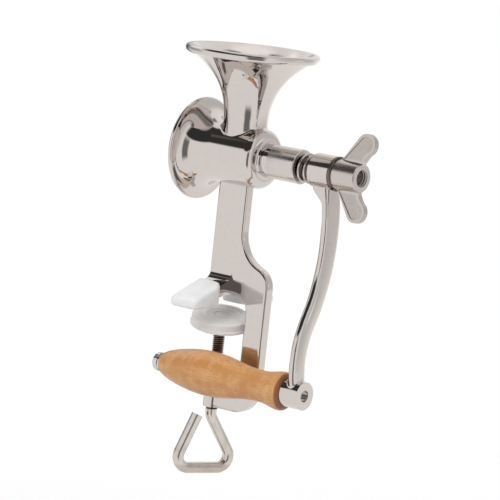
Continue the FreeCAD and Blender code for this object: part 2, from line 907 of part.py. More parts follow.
def grip():
    belly = grip_start + grip_belly_at
    waist = grip_start + grip_waist_at
    end = grip_end - grip_end_round
    corner = (end, grip_end_radius - grip_end_round)
    swell = 0.42 * grip_belly_at
    fall = (waist - belly) / 2.3
    flare = (end - waist) / 2
    face = outline(
        on_handle(grip_start, 0),
        on_handle(grip_start, grip_tip_radius - 1),
        [
            on_handle(grip_start, grip_tip_radius + 2),
            on_handle(belly - swell, grip_belly_radius),
            on_handle(belly, grip_belly_radius),
        ],
        [
            on_handle(belly + fall, grip_belly_radius),
            on_handle(waist - fall, grip_waist_radius),
            on_handle(waist, grip_waist_radius),
        ],
        [
            on_handle(waist + flare, grip_waist_radius),
            on_handle(end - flare / 2, grip_end_radius),
            on_handle(end, grip_end_radius),
        ],
        (
            on_handle(*polar(corner, grip_end_round, 45)),
            on_handle(grip_end, corner[1]),
        ),
        on_handle(grip_end, 0),
    )
    wood = turned_on_handle(face).cut(handle_rod(bolt_radius + running_gap, grip_start - 1, grip_end + 1))
    return turned_about_shaft(wood, crank_rest_angle)


def handle_washer_end():
    return grip_start - loose_gap / 2


def handle_washer():
    start = handle_washer_end() - handle_washer_thickness
    ring = handle_rod(handle_washer_radius, start, handle_washer_end())
    ring = ring.cut(handle_rod(bolt_radius + seat_gap, start - 1, grip_start + 1))
    return turned_about_shaft(ring, crank_rest_angle)


def handle_bolt():
    head_end = handle_washer_end() - handle_washer_thickness
    head_start = head_end - bolt_head_height
    dome = bolt_head_height / 3
    face = outline(
        on_handle(head_start, 0),
        on_handle(head_start, bolt_head_radius / 2),
        (
            on_handle(head_start + dome * 0.4, bolt_head_radius * 0.85),
            on_handle(head_start + dome, bolt_head_radius),
        ),
        on_handle(head_end, bolt_head_radius),
        on_handle(head_end, bolt_radius),
        on_handle(boss_end - bolt_setback, bolt_radius),
        on_handle(boss_end - bolt_setback, 0),
    )
    return turned_about_shaft(turned_on_handle(face), crank_rest_angle)


def screw_point(radius, rise):
    return Vector(radius, 0, rise)


def turned_on_screw(face):
    return face.revolve(Vector(0, 0, 0), Vector(0, 0, 1), 360)


def pad_top():
    return shaft_height - pad_drop


def ball_height():
    return pad_top() - ball_below_top


def tilted(shape):
    heading = math.radians(pad_tilt_heading)
    axis = Vector(math.cos(heading), math.sin(heading), 0)
    shape.rotate(Vector(0, 0, ball_height()), axis, pad_tilt)
    return shape


def pad_cap():
    top = pad_top()
    bottom = top - pad_height
    lip = pad_radius + pad_lip
    corner = (pad_radius - pad_round, top - pad_round)
    inner = pad_radius - pad_wall
    face = outline(
        screw_point(0, top),
        screw_point(corner[0], top),
        (screw_point(*polar(corner, pad_round, 45)), screw_point(pad_radius, corner[1])),
        screw_point(pad_radius, bottom + pad_lip_height + pad_lip),
        screw_point(lip, bottom + pad_lip_height),
        screw_point(lip, bottom),
        screw_point(inner, bottom),
        screw_point(inner, top - pad_skin),
        screw_point(0, top - pad_skin),
    )
    cap = turned_on_screw(face)
    for radius in pad_ring_radii:
        groove = outline(
            screw_point(radius - pad_ring_width, top),
            screw_point(radius, top - pad_ring_depth),
            screw_point(radius + pad_ring_width, top),
            screw_point(radius, top + pad_ring_depth),
        )
        cap = cap.cut(turned_on_screw(groove))
    return tilted(cap)


def pressure_plate():
    top = pad_top() - pad_skin - seat_gap
    bottom = pad_top() - pad_height + plate_inset
    radius = pad_radius - pad_wall - seat_gap
    plate = Part.makeCylinder(radius, top - bottom, Vector(0, 0, bottom))
    socket = Part.makeSphere(ball_radius + ball_play, Vector(0, 0, ball_height()))
    mouth = Part.makeCylinder(ball_mouth, ball_height() - bottom + 1, Vector(0, 0, bottom - 1))
    return tilted(plate.cut([socket, mouth]))


def swivel_ball():
    ball = Part.makeSphere(ball_radius, Vector(0, 0, ball_height()))
    stem_hole = Part.makeCylinder(
        ball_stem_radius + running_gap, 2 * ball_radius, Vector(0, 0, ball_height() - 2 * ball_radius)
    )
    return ball.cut(stem_hole)


def rounded_path(corners, radius):
    """A wire through the corners, each inner corner rounded by one arc."""
    edges = []
    here = corners[0]
    for before, corner, after in zip(corners, corners[1:], corners[2:]):
        back = before - corner
        ahead = after - corner
        back.normalize()
        ahead.normalize()
        half = math.acos(back.dot(ahead)) / 2
        run = radius / math.tan(half)
        inward = back + ahead
        inward.normalize()
        middle = corner + inward * (radius / math.sin(half) - radius)
        edges.append(Part.makeLine(here, corner + back * run))
        edges.append(Part.Arc(corner + back * run, middle, corner + ahead * run).toShape())
        here = corner + ahead * run
    edges.append(Part.makeLine(here, corners[-1]))
    return Part.Wire(edges)


def clamp_screw():
    heading = math.radians(rod_heading)

    def at(across, drop):
        return below_shaft(across * math.cos(heading), across * math.sin(heading), drop)

    path = rounded_path(
        [
            at(0, bar_bottom_drop + 2),
            at(0, rod_neck_drop),
            at(rod_right, rod_bottom_drop),
            at(rod_left, rod_bottom_drop),
            at(rod_free, rod_free_drop),
        ],
        rod_bend,
    )
    ring = Part.Wire([Part.makeCircle(rod_radius, at(0, bar_bottom_drop + 2), Vector(0, 0, -1))])
    handle = path.makePipeShell([ring], True, False)
    shoulder = ball_height() - ball_radius - ball_play
    bottom = shaft_height - bar_bottom_drop - 2
    thread = Part.makeCylinder(screw_radius, shoulder - 1 - bottom, Vector(0, 0, bottom))
    neck = Part.makeCone(screw_radius, ball_stem_radius, 1, Vector(0, 0, shoulder - 1))
    stem = Part.makeCylinder(ball_stem_radius, ball_height() - shoulder - running_gap, Vector(0, 0, shoulder))
    return thread.fuse([neck, stem, handle]).removeSplitter()


save("body_casting", body_casting())
save("burr_ring", burr_ring())
save("neck_bush", neck_bush())
save("jaw_cap_front", jaw_cap(-1))
save("jaw_cap_back", jaw_cap(1))
save("feed_screw", feed_screw())
save("grinding_cone", grinding_cone())
save("cone_washer", cone_washer())
save("cone_nut", cone_nut())
save("thrust_washer", thrust_washer())
save("adjusting_spring", adjusting_spring())
save("crank_arm", crank_arm())
save("lock_washer", lock_washer())
save("wing_nut", wing_nut())
save("grip", grip())
save("handle_bolt", handle_bolt())
save("handle_washer", handle_washer())
save("clamp_screw", clamp_screw())
save("swivel_ball", swivel_ball())
save("pressure_plate", pressure_plate())
save("pad_cap", pad_cap())
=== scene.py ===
import json
import math
import bpy
from mathutils import Matrix, Vector


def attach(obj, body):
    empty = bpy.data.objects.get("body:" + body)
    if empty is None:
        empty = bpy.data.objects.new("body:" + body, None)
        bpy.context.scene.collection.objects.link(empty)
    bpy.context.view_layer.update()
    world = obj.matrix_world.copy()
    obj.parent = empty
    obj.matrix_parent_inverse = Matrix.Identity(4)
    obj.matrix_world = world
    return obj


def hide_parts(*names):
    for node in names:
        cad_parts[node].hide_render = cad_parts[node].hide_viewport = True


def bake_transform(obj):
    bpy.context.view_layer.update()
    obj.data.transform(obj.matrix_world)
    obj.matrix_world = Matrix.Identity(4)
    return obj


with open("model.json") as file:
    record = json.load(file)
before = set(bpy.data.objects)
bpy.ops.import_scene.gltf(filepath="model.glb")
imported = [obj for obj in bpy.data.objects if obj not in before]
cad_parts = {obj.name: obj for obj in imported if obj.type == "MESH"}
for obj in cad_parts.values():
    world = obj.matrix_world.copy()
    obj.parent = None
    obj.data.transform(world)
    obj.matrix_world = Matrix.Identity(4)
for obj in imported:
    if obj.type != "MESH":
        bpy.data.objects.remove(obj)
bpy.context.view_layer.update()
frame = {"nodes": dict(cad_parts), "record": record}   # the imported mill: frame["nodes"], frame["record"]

mm = 0.001
shaftHeight = 88.7 * mm   # the shaft's axis above the jaw soles
print("stage 1: frame loaded,", len(frame["nodes"]), "CAD nodes")


# shader maths
class Value:   # one node socket, so that sums on it read as sums
    def __init__(self, finish, socket):
        self.finish = finish
        self.socket = socket

    def __add__(self, other):
        return self.finish.maths("ADD", self, other)

    def __radd__(self, other):
        return self.finish.maths("ADD", other, self)

    def __sub__(self, other):
        return self.finish.maths("SUBTRACT", self, other)

    def __rsub__(self, other):
        return self.finish.maths("SUBTRACT", other, self)

    def __mul__(self, other):
        return self.finish.maths("MULTIPLY", self, other)

    def __rmul__(self, other):
        return self.finish.maths("MULTIPLY", other, self)

    def __truediv__(self, other):
        return self.finish.maths("DIVIDE", self, other)

    def __rtruediv__(self, other):
        return self.finish.maths("DIVIDE", other, self)

    def __pow__(self, other):
        return self.finish.maths("POWER", self, other)

    def __abs__(self):
        return self.finish.maths("ABSOLUTE", self)


class Finish:   # one node tree, filled by node() and closed by surface()
    def __init__(self, tree):
        self.tree = tree
        tree.nodes.clear()

    def node(self, kind, settings=None, sockets=None, out=0):
        made = self.tree.nodes.new("ShaderNode" + kind)
        for name, value in (settings or {}).items():
            setattr(made, name, value)
        for name, value in (sockets or {}).items():
            socket = made.inputs[name]
            if isinstance(value, Value):
                self.tree.links.new(value.socket, socket)
            elif socket.type == "RGBA" and len(value) == 3:
                socket.default_value = (*value, 1)
            else:
                socket.default_value = value
        return Value(self, made.outputs[out]) if len(made.outputs) else None

    def maths(self, operation, *terms):
        return self.node("Math", {"operation": operation}, dict(enumerate(terms)))

    def place(self):
        return self.node("TexCoord", out="Object")

    def axes(self, vector):
        split = self.node("SeparateXYZ", None, {0: vector})
        return [Value(self, socket) for socket in split.socket.node.outputs]

    def noise(self, vector, scale=1.0, detail=2.0, rough=0.5, stretch=None):   # stretch: one scale per axis
        if stretch:
            vector = self.node("VectorMath", {"operation": "MULTIPLY"}, {0: vector, 1: stretch})
        sockets = {"Vector": vector, "Scale": scale, "Detail": detail, "Roughness": rough}
        return self.node("TexNoise", None, sockets)

    def ramp(self, value, low, high):   # smooth 0 to 1
        sockets = {"Value": value, "From Min": low, "From Max": high}
        return self.node("MapRange", {"interpolation_type": "SMOOTHSTEP"}, sockets)

    def between(self, value, low, high, soft):   # 1 within the span, smooth at both ends
        return self.ramp(value, low - soft, low + soft) * (1 - self.ramp(value, high - soft, high + soft))

    def blend(self, factor, first, second):   # colours, which are a Mix node's sockets 6, 7 and 2
        return self.node("Mix", {"data_type": "RGBA"}, {0: factor, 6: first, 7: second}, out=2)

    def bump(self, height, relief, strength=1.0):
        sockets = {"Strength": strength, "Distance": relief, "Height": height}
        return self.node("Bump", None, sockets, out="Normal")

    def surface(self, sockets):
        shader = self.node("BsdfPrincipled", None, sockets)
        self.node("OutputMaterial", None, {"Surface": shader})


def newFinish(name):
    material = bpy.data.materials.new(name)
    material.use_nodes = True
    return material, Finish(material.node_tree)


def fromAxis(first, second):   # distance, from the steps along the two other axes
    return (first * first + second * second) ** 0.5


# finishes
def makePolishedCast():   # mirror polished casting: faint waves, buffing haze, small pits, satin neck and hub
    look = {"tint": (0.678, 0.628, 0.600), "cool": (0.652, 0.608, 0.584), "rough": 0.03, "hazeRough": 0.03,
            "pitRough": 0.12, "satin": 0.40, "hubShare": 0.45, "relief": 0.000008, "buffRelief": 0.02,
            "pitRelief": 0.05, "satinRadius": 10.5 * mm, "neckStart": 28 * mm, "neckEnd": 50 * mm, "soft": 1 * mm}
    material, finish = newFinish("polishedCast")
    spot = finish.place()
    x, y, z = finish.axes(spot)
    radius = fromAxis(y, z - shaftHeight)
    near = 1 - finish.ramp(radius, look["satinRadius"] - look["soft"], look["satinRadius"])
    neck = near * finish.between(x, look["neckStart"], look["neckEnd"], look["soft"])
    hub = near * finish.ramp(x, look["neckEnd"], look["neckEnd"] + look["soft"])
    wave = finish.noise(spot, scale=60, detail=1.5)
    haze = finish.noise(spot, scale=260, detail=4, rough=0.6)
    buff = finish.noise(spot, stretch=(900, 900, 90), detail=3, rough=0.6)
    pits = finish.ramp(finish.noise(spot, scale=1500, detail=1), low=0.78, high=0.86)
    finish.surface({
        "Base Color": finish.blend(finish.ramp(haze, low=0.35, high=0.7), look["tint"], look["cool"]),
        "Metallic": 1.0,
        "Roughness": look["rough"] + look["hazeRough"] * finish.ramp(haze, low=0.45, high=0.75) * buff
        + look["pitRough"] * pits + look["satin"] * (neck + look["hubShare"] * hub),
        "Normal": finish.bump(wave + look["buffRelief"] * buff - look["pitRelief"] * pits, look["relief"]),
    })
    return material


def makeNutCast():   # blasted casting: satin wings, their border and the hub rubbed brighter; painted shade along the border's foot and down in the bore
    look = {"tint": (0.62, 0.572, 0.545), "dull": (0.54, 0.490, 0.462), "dark": (0.20, 0.175, 0.155),
            "hubRadius": 9.3 * mm, "hubSoft": 1.2 * mm, "boreRadius": 5.25 * mm, "boreSoft": 0.6 * mm,
            "wingTurn": -5.3, "panel": 1.25 * mm, "border": 1.62 * mm, "edgeSoft": 0.05 * mm,
            "dullShare": 0.7, "speckle": 0.45, "rubbed": 0.6, "stepShade": 0.7, "oil": 0.8,
            "rough": 0.22, "wingRough": 0.07, "borderGloss": 0.12, "grainRough": 0.10,
            "relief": 0.00007, "strength": 0.6, "hubGrain": 0.04}
    material, finish = newFinish("nutCast")
    spot = finish.place()
    y, z = finish.axes(spot)[1:]
    rise = z - shaftHeight
    radius = fromAxis(y, rise)
    wing = finish.ramp(radius, look["hubRadius"], look["hubRadius"] + look["hubSoft"])
    bore = 1 - finish.ramp(radius, look["boreRadius"] - look["boreSoft"], look["boreRadius"])
    turn = math.radians(look["wingTurn"])
    height = abs(y * math.cos(turn) + rise * math.sin(turn))   # out of the wings' middle plane
    step = wing * finish.between(height, look["panel"], look["border"], look["edgeSoft"])
    border = wing * finish.ramp(height, look["border"], look["border"] + look["edgeSoft"])
    grain = finish.noise(spot, scale=1100, detail=4, rough=0.7)
    cloud = finish.noise(spot, scale=220, detail=3)
    cloudy = look["dullShare"] + (1 - look["dullShare"]) * finish.ramp(cloud, low=0.3, high=0.7)
    skin = finish.blend(wing * cloudy, look["tint"], look["dull"])
    skin = finish.blend(wing * look["speckle"] * finish.ramp(grain, low=0.5, high=0.72), skin, look["dark"])
    skin = finish.blend(look["rubbed"] * border, skin, look["tint"])   # the border is rubbed bright
    skin = finish.blend(look["stepShade"] * step, skin, look["dark"])   # painted shade along its foot
    pocked = grain * (look["hubGrain"] + (1 - look["hubGrain"]) * wing)
    finish.surface({
        "Base Color": finish.blend(look["oil"] * bore, skin, look["dark"]),   # painted shade down in the bore's thread
        "Metallic": 1.0,
        "Roughness": look["rough"] + look["wingRough"] * wing - look["borderGloss"] * border
        + look["grainRough"] * grain,
        "Normal": finish.bump(pocked, look["relief"], look["strength"]),
    })
    return material


def makeBeech():   # varnished beech along X: soft growth bands, short dark ray flecks, dark red end grain with painted shade on the end
    look = {"light": (0.70, 0.375, 0.150), "warm": (0.56, 0.245, 0.078), "pale": (0.80, 0.49, 0.225),
            "fleck": (0.30, 0.105, 0.032), "end": (0.20, 0.058, 0.018), "endStart": 67.3 * mm,
            "endFull": 68.4 * mm, "bandShare": 0.6, "figureShare": 0.4, "fineShare": 0.75, "fleckShare": 0.32,
            "endGrainAndShadeShare": 0.85, "rough": 0.40, "fineRough": 0.12, "specular": 0.3, "coat": 0.25, "bandCoat": 0.2,
            "coatRough": 0.14, "relief": 0.00006, "strength": 0.5, "pores": 0.5}
    material, finish = newFinish("beech")
    spot = finish.place()
    along = finish.axes(spot)[0]
    cloud = finish.noise(spot, stretch=(26, 55, 55))
    band = finish.noise(spot, stretch=(7, 120, 120), detail=3, rough=0.55)
    fine = finish.noise(spot, stretch=(90, 1700, 1700), detail=3, rough=0.6)
    ray = finish.noise(spot, stretch=(300, 1500, 1500), detail=1)
    figure = finish.noise(spot, stretch=(170, 70, 70), rough=0.6)   # sheen across the grain
    fleck = finish.ramp(ray, low=0.57, high=0.68) * finish.ramp(cloud, low=0.36, high=0.56)
    growth = band * look["bandShare"] + cloud * (1 - look["bandShare"])
    endGrainAndShade = finish.ramp(along, look["endStart"], look["endFull"])
    wood = finish.blend(finish.ramp(growth, low=0.36, high=0.64), look["warm"], look["light"])
    wood = finish.blend(look["figureShare"] * finish.ramp(figure, low=0.42, high=0.68), wood, look["pale"])
    wood = finish.blend(look["fineShare"] * finish.ramp(fine, low=0.46, high=0.72), wood, look["warm"])
    wood = finish.blend(look["fleckShare"] * fleck, wood, look["fleck"])
    # the end is darkened partly as end grain and partly as painted shade
    wood = finish.blend(look["endGrainAndShadeShare"] * endGrainAndShade, wood, look["end"])
    finish.surface({
        "Base Color": wood,
        "Roughness": look["rough"] + look["fineRough"] * fine,
        "Specular IOR Level": look["specular"],
        "Coat Weight": look["coat"] + look["bandCoat"] * band,
        "Coat Roughness": look["coatRough"],
        "Normal": finish.bump(look["pores"] * (fine - fleck), look["relief"], look["strength"]),
    })
    return material


def makeMoulded(name, pale, shade, rough, coat):   # moulded plastic: fine spark grain, faint flow marks
    look = {"flowRough": 0.12, "grainRough": 0.06, "coatRough": 0.2, "flowRelief": 1.5, "relief": 0.00002,
            "strength": 0.4}
    material, finish = newFinish(name)
    spot = finish.place()
    flow = finish.noise(spot, scale=120, detail=3)
    grain = finish.noise(spot, scale=4200, rough=0.6)
    finish.surface({
        "Base Color": finish.blend(finish.ramp(flow, low=0.35, high=0.75), pale, shade),
        "Roughness": rough + look["flowRough"] * flow + look["grainRough"] * grain,
        "Coat Weight": coat,
        "Coat Roughness": look["coatRough"],
        "Normal": finish.bump(grain + look["flowRelief"] * flow, look["relief"], look["strength"]),
    })
    return material


def makeTurned(name, tint, dull, rough, pitch, shadedStretch=None):   # lathe turned metal: rings across X
    look = {"oil": (0.10, 0.075, 0.058), "stretchShadeShare": 0.9, "stretchShadeSoft": 0.4 * mm, "ringRough": 0.14,
            "smearRough": 0.06, "smearRelief": 0.2, "relief": 0.000012, "strength": 0.6}
    material, finish = newFinish(name)
    spot = finish.place()
    rings = finish.noise(spot, stretch=(1 / pitch, 12, 12), detail=3, rough=0.7)
    cloud = finish.noise(spot, scale=300, detail=3)
    smear = finish.noise(spot, scale=700)
    skin = finish.blend(finish.ramp(cloud, low=0.35, high=0.75), tint, dull)
    if shadedStretch:   # from where to where a stretch of painted shade runs along X
        stretchShade = finish.between(finish.axes(spot)[0], *shadedStretch, look["stretchShadeSoft"])
        # painted shade: the stretch is darkened to the oil colour
        skin = finish.blend(look["stretchShadeShare"] * stretchShade, skin, look["oil"])
    finish.surface({
        "Base Color": skin,
        "Metallic": 1.0,
        "Roughness": rough + look["ringRough"] * rings + look["smearRough"] * smear,
        "Normal": finish.bump(rings + look["smearRelief"] * smear, look["relief"], look["strength"]),
    })
    return material


def makeDrawnRod():   # satin drawn rod below, dark oiled thread above
    look = {"rod": (0.70, 0.656, 0.622), "stain": (0.60, 0.553, 0.515), "worn": (0.45, 0.375, 0.325),
            "oil": (0.055, 0.040, 0.030), "crest": (0.60, 0.49, 0.42), "lowRunShare": 0.55, "crestShare": 0.6,
            "footTop": -94.5 * mm, "footSoft": 2 * mm, "threadEnd": -62.4 * mm, "threadSoft": 0.3 * mm,
            "rootRadius": 3.2 * mm, "crestRadius": 3.55 * mm, "rough": 0.12, "lineRough": 0.14,
            "threadRough": 0.14, "cloudRelief": 0.1, "relief": 0.000008, "strength": 0.6}
    material, finish = newFinish("drawnRod")
    spot = finish.place()
    x, y, z = finish.axes(spot)
    thread = finish.ramp(z, look["threadEnd"], look["threadEnd"] + look["threadSoft"])
    foot = 1 - finish.ramp(z, look["footTop"] - look["footSoft"], look["footTop"])   # darker along the lowest run
    crest = finish.ramp(fromAxis(x, y), look["rootRadius"], look["crestRadius"])
    lines = finish.noise(spot, stretch=(1400, 1400, 40), detail=3, rough=0.6)
    cloud = finish.noise(spot, scale=180, detail=3)
    rod = finish.blend(finish.ramp(cloud, low=0.4, high=0.75), look["rod"], look["stain"])
    # the lowest run is darker
    rod = finish.blend(look["lowRunShare"] * foot, rod, look["worn"])
    bare = crest * (look["crestShare"] + (1 - look["crestShare"]) * cloud)
    finish.surface({
        "Base Color": finish.blend(thread, rod, finish.blend(bare, look["oil"], look["crest"])),
        "Metallic": 1.0,
        "Roughness": look["rough"] + look["lineRough"] * lines + look["threadRough"] * thread,
        "Normal": finish.bump(lines + look["cloudRelief"] * cloud, look["relief"], look["strength"]),
    })
    return material


def makeBurrIron():   # as-cast iron with bright ground teeth
    look = {"iron": (0.20, 0.19, 0.185), "ground": (0.42, 0.41, 0.40), "rough": 0.34, "skinRough": 0.22,
            "relief": 0.00008, "strength": 0.6}
    material, finish = newFinish("burrIron")
    spot = finish.place()
    skin = finish.noise(spot, scale=1300, detail=4, rough=0.65)
    worn = finish.noise(spot, scale=240, detail=3)
    finish.surface({
        "Base Color": finish.blend(finish.ramp(worn, low=0.35, high=0.7), look["iron"], look["ground"]),
        "Metallic": 1.0,
        "Roughness": look["rough"] + look["skinRough"] * skin,
        "Normal": finish.bump(skin, look["relief"], look["strength"]),
    })
    return material


finishes = {
    "polished_cast": makePolishedCast(),
    "nut_cast": makeNutCast(),
    "beech": makeBeech(),
    "white_plastic": makeMoulded("whitePlastic", (0.88, 0.88, 0.885), (0.82, 0.82, 0.83), rough=0.34, coat=0.05),
    "milky_plastic": makeMoulded("milkyPlastic", (0.90, 0.885, 0.88), (0.86, 0.845, 0.84), rough=0.24, coat=0.25),
    # painted shade on the shaft from 40 to 60 mm along X, around the gap inside the spring
    "machined_steel": makeTurned("machinedSteel", (0.60, 0.59, 0.58), (0.48, 0.47, 0.46), rough=0.16,
                                 pitch=0.25 * mm, shadedStretch=(40 * mm, 60 * mm)),
    "spring_wire": makeTurned("springWire", (0.66, 0.61, 0.575), (0.50, 0.45, 0.415), rough=0.10, pitch=2.0 * mm),
    "dark_steel": makeTurned("darkSteel", (0.21, 0.18, 0.155), (0.12, 0.10, 0.085), rough=0.22, pitch=0.4 * mm),
    "bright_steel": makeTurned("brightSteel", (0.72, 0.715, 0.71), (0.62, 0.61, 0.60), rough=0.06,
                               pitch=0.3 * mm),
    "bush_brass": makeTurned("bushBrass", (0.40, 0.29, 0.15), (0.28, 0.20, 0.10), rough=0.30, pitch=0.3 * mm),
    "rod_steel": makeDrawnRod(),
    "burr_iron": makeBurrIron(),
}
print("stage 2:", len(finishes), "finishes made")

for row in frame["record"]["subparts"]:   # every CAD node takes the finish of its slot
    node = frame["nodes"][row["node"]]
    if not node.material_slots:
        node.data.materials.append(None)
    for slot in node.material_slots:
        slot.material = finishes[row["material_slot"]]
print("stage 3: CAD nodes painted")


# modelling helpers
mergeLimit = 1e-6
fineMergeLimit = 1e-7   # between the points of a thread's outline
fullTurn = 2 * math.pi


def clearSelection():
    if bpy.context.object and bpy.context.object.mode != "OBJECT":
        bpy.ops.object.mode_set(mode="OBJECT")
    bpy.ops.object.select_all(action="DESELECT")


def startPiece(name):   # the primitive just added becomes the piece
    piece = bpy.context.object
    piece.name = name
    piece.data.name = name
    return piece


def startRing(name, around, radius, place, turn=(0, 0, 0), fill="NOTHING"):   # a circle, its place in its mesh
    clearSelection()
    bpy.ops.mesh.primitive_circle_add(vertices=around, radius=radius, fill_type=fill, location=place, rotation=turn)
    ring = startPiece(name)
    bpy.ops.object.transform_apply(location=True, rotation=True, scale=True)
    return ring


def chooseAll():   # the piece stays open for editing
    bpy.ops.object.mode_set(mode="EDIT")
    bpy.ops.mesh.select_mode(type="VERT")
    bpy.ops.mesh.select_all(action="SELECT")


def mergePoints(limit):
    chooseAll()
    bpy.ops.mesh.remove_doubles(threshold=limit)


def growLine(steps):   # extrudes what is chosen, step by step
    for step in steps:
        bpy.ops.mesh.extrude_region_move(TRANSFORM_OT_translate={"value": step})


def cutEnd(place, away):   # trims what lies beyond a plane and closes the cut
    chooseAll()
    bpy.ops.mesh.bisect(plane_co=place, plane_no=away, use_fill=True, clear_outer=True)


def fillOpenEnds():
    bpy.ops.object.mode_set(mode="EDIT")
    bpy.ops.mesh.select_mode(type="EDGE")
    bpy.ops.mesh.select_all(action="DESELECT")
    bpy.ops.mesh.select_non_manifold(extend=False, use_wire=False, use_multi_face=False,
                                     use_non_contiguous=False, use_verts=False)
    bpy.ops.mesh.edge_face_add()
    bpy.ops.object.mode_set(mode="OBJECT")


def sweep(piece, axis, angle, steps, offset=0.0, turns=1, merge=None):   # carries an outline round an axis
    swept = piece.modifiers.new("swept", "SCREW")
    swept.axis = axis
    swept.angle = angle
    swept.screw_offset = offset
    swept.iterations = turns
    swept.steps = swept.render_steps = steps
    if merge:
        swept.use_merge_vertices = True
        swept.merge_threshold = merge
    bpy.ops.object.modifier_apply(modifier=swept.name)


def makeWound(name, profile, axis, pitch, turns, steps):   # a line of points, wound up; a plain round at pitch 0
    wound = startRing(name, 3, mm, (0, 0, 0))
    for point in wound.data.vertices:
        point.co = profile[0]
    mergePoints(fineMergeLimit)
    growLine([after - before for before, after in zip(profile, profile[1:])])
    bpy.ops.object.mode_set(mode="OBJECT")
    sweep(wound, axis, fullTurn, steps, offset=pitch, turns=turns, merge=fineMergeLimit)
    mergePoints(fineMergeLimit)
    return wound


def closePiece(angle):   # the active piece: merge, face outwards, put the place into the mesh, shade
    mergePoints(mergeLimit)
    bpy.ops.mesh.normals_make_consistent(inside=False)
    bpy.ops.object.mode_set(mode="OBJECT")
    bpy.ops.object.transform_apply(location=True, rotation=True, scale=True)
    bpy.ops.object.shade_smooth_by_angle(angle=math.radians(angle))


def finishPiece(piece, body, slot):
    piece.data.materials.clear()
    piece.data.materials.append(finishes[slot])
    if body:   # a blended piece has no one body
        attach(piece, body)
    print("  ", piece.name, len(piece.data.polygons), "faces")


# adjusting spring
springSizes = {"wire": 0.75 * mm, "coil": 8.1 * mm, "start": 48.85 * mm, "end": 56.15 * mm, "turns": 1.75,
               "firstAngle": 100, "around": 20, "stepsPerTurn": 64, "smooth": 50}


def makeSpring(sizes):
    first = math.radians(sizes["firstAngle"])
    middle = Vector((sizes["start"], sizes["coil"] * math.sin(first), sizes["coil"] * math.cos(first)))
    upright = math.atan2(-math.cos(first), -math.sin(first))   # the ring stands across the wire
    spring = startRing("springForm", sizes["around"], sizes["wire"], middle, turn=(upright, 0, 0))
    spring.location = (0, 0, shaftHeight)
    sweep(spring, "X", -sizes["turns"] * fullTurn, int(sizes["turns"] * sizes["stepsPerTurn"]),
          offset=sizes["end"] - sizes["start"])
    fillOpenEnds()
    closePiece(sizes["smooth"])
    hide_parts("adjusting_spring")
    finishPiece(spring, None, "spring_wire")
    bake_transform(spring)


makeSpring(springSizes)


# clamp screw: thread, stem and bent rod
screwSizes = {"root": 3.0 * mm, "crest": 3.6 * mm, "pitch": 1.25 * mm, "top": -15.32 * mm, "bottom": -62.8 * mm,
              "stemFoot": 2.94 * mm, "sunk": 0.2 * mm, "stem": 1.6 * mm, "neckTop": -14.32 * mm,
              "stemTop": -11.06 * mm, "rod": 3.35 * mm, "bend": 7 * mm, "bendSteps": 14, "heading": 67,
              "around": 32, "smooth": 40,
              "corners": ((0, 62.0), (0, 66.3), (20.3, 97.8), (-22.2, 97.8), (-9.0, 65.9)),   # mm across, mm down
              "shape": ((0, "root"), (0.16, "root"), (0.44, "crest"),   # share of the pitch, radius
                        (0.56, "crest"), (0.84, "root"), (1, "root"))}


def makeScrewThread(sizes):
    pitch = sizes["pitch"]
    turns = math.ceil((sizes["top"] - sizes["bottom"]) / pitch) + 2   # the ends are cut off
    low = sizes["bottom"] - pitch
    profile = [Vector((sizes[radius], 0, low + share * pitch)) for share, radius in sizes["shape"]]
    thread = makeWound("clampScrewForm", profile, "Z", pitch, turns, sizes["around"])
    cutEnd((0, 0, sizes["top"]), (0, 0, 1))
    cutEnd((0, 0, sizes["bottom"]), (0, 0, -1))
    return thread


def makeScrewStem(sizes):   # goes up into the swivel ball
    stem = startRing("screwStem", sizes["around"], sizes["stemFoot"], (0, 0, sizes["top"] - sizes["sunk"]),
                     fill="NGON")
    chooseAll()
    growLine([(0, 0, sizes["sunk"]), (0, 0, sizes["neckTop"] - sizes["top"])])
    bpy.ops.transform.resize(value=[sizes["stem"] / sizes["stemFoot"]] * 2 + [1],
                             center_override=(0, 0, sizes["neckTop"]))
    growLine([(0, 0, sizes["stemTop"] - sizes["neckTop"])])
    return stem


def makeScrewRod(sizes):   # straight runs are extruded and bends are spun
    heading = math.radians(sizes["heading"])
    side = Vector((math.cos(heading), math.sin(heading), 0))
    across = side.cross(Vector((0, 0, 1)))   # square to the plane of the bends
    corners = [side * (step * mm) - Vector((0, 0, drop * mm)) for step, drop in sizes["corners"]]
    rod = startRing("screwRod", sizes["around"], sizes["rod"], corners[0], fill="NGON")
    chooseAll()
    here = corners[0]
    for before, corner, after in zip(corners, corners[1:], corners[2:]):
        back = (before - corner).normalized()
        ahead = (after - corner).normalized()
        half = back.angle(ahead) / 2
        run = sizes["bend"] / math.tan(half)
        centre = corner + (back + ahead).normalized() * (sizes["bend"] / math.sin(half))
        growLine([corner + back * run - here])
        way = 1 if back.cross(ahead).dot(across) > 0 else -1
        turn = way * (math.pi - 2 * half)
        bpy.ops.mesh.spin(steps=sizes["bendSteps"], angle=turn, center=centre, axis=across)
        here = corner + ahead * run
    growLine([corners[-1] - here])
    return rod


def makeClampScrew(sizes):
    screw = makeScrewThread(sizes)
    parts = (makeScrewStem(sizes), makeScrewRod(sizes), screw)
    clearSelection()
    for part in parts:
        part.select_set(True)
    bpy.context.view_layer.objects.active = screw
    bpy.ops.object.join()
    closePiece(sizes["smooth"])
    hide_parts("clamp_screw")
    finishPiece(screw, "clamp_screw", "rod_steel")


makeClampScrew(screwSizes)


# rolled bead of the hopper's rim
beadSizes = {"round": 2.4 * mm, "reach": 39.28 * mm, "top": 150.98 * mm, "hopperX": 3.0 * mm, "around": 28,
             "steps": 160, "smooth": 60}


